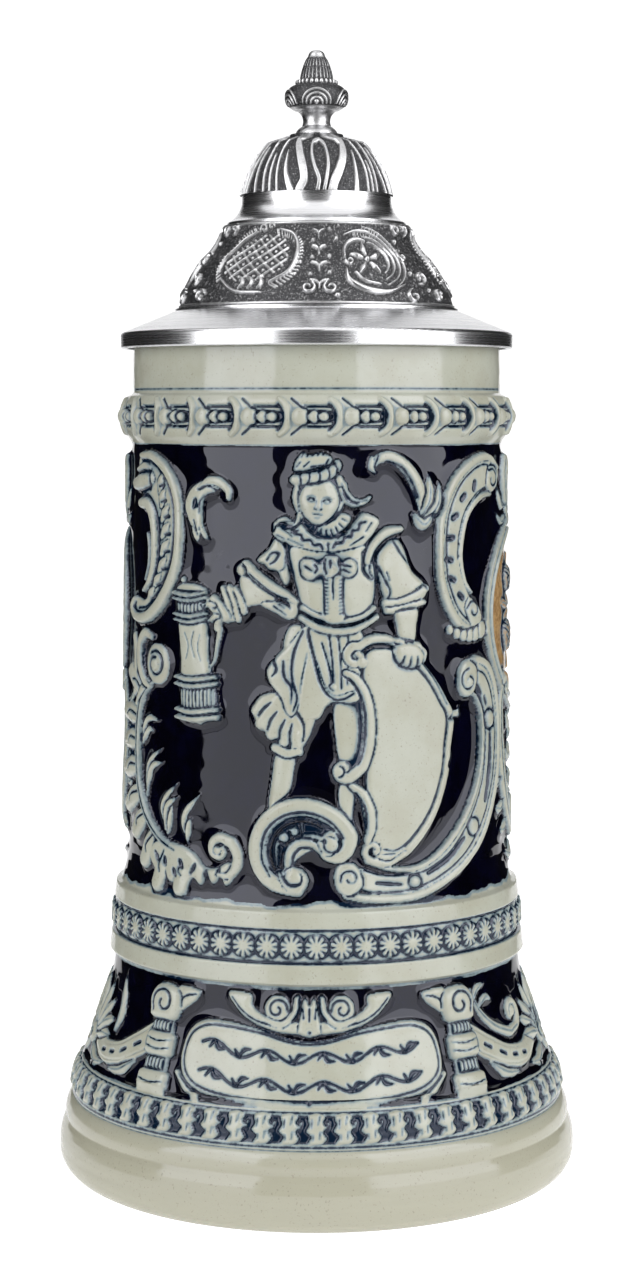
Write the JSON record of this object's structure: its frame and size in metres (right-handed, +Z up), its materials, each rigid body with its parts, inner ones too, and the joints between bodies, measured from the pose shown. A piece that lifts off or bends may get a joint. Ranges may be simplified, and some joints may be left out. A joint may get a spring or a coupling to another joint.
{
  "type": "lidded beer stein",
  "caption": "Tall relief stoneware beer stein with a flared foot, a loop handle and a hinged conical pewter lid with thumb-lift and finial.",
  "frame": {"origin": "on the mug's axis at the standing plane, the centre of the standing ring", "axes": "+Z up along the mug's axis, -Y towards the figure panel that faces the viewer, +Y towards the handle, X along the lid's hinge"},
  "size_m": [0.1116, 0.1415, 0.241],
  "materials": {
    "stoneware": "salt-glazed grey stoneware with a cobalt ground, gloss",
    "stoneware_handle": "cobalt glaze over stoneware, gloss",
    "pewter": "cast pewter, satin",
    "turned_pewter": "lathe-turned pewter, fine rings, bright satin",
    "antique_pewter": "cast pewter relief with a dark patina, rubbed bright on the high places",
    "hinge_steel": "drawn wire"
  },
  "bodies": {
    "mug": {"mug_body": "stoneware", "handle": "stoneware_handle", "handle_strap": "pewter", "hinge_pin": "hinge_steel", "hinge_cap_left": "pewter", "hinge_cap_right": "pewter"},
    "lid": {"lid_flange": "turned_pewter", "lid_frieze": "antique_pewter", "lid_collar": "turned_pewter", "lid_dome": "antique_pewter", "lid_finial": "turned_pewter", "lid_shank": "pewter", "thumb_lift": "antique_pewter"}
  },
  "joints": [
    {"name": "lid_hinge", "type": "hinge", "parent": "mug", "child": "lid", "pos_m": [0, 0.053, 0.1825], "axis": [-1, 0, 0], "range_deg": [0, 105]}
  ]
}
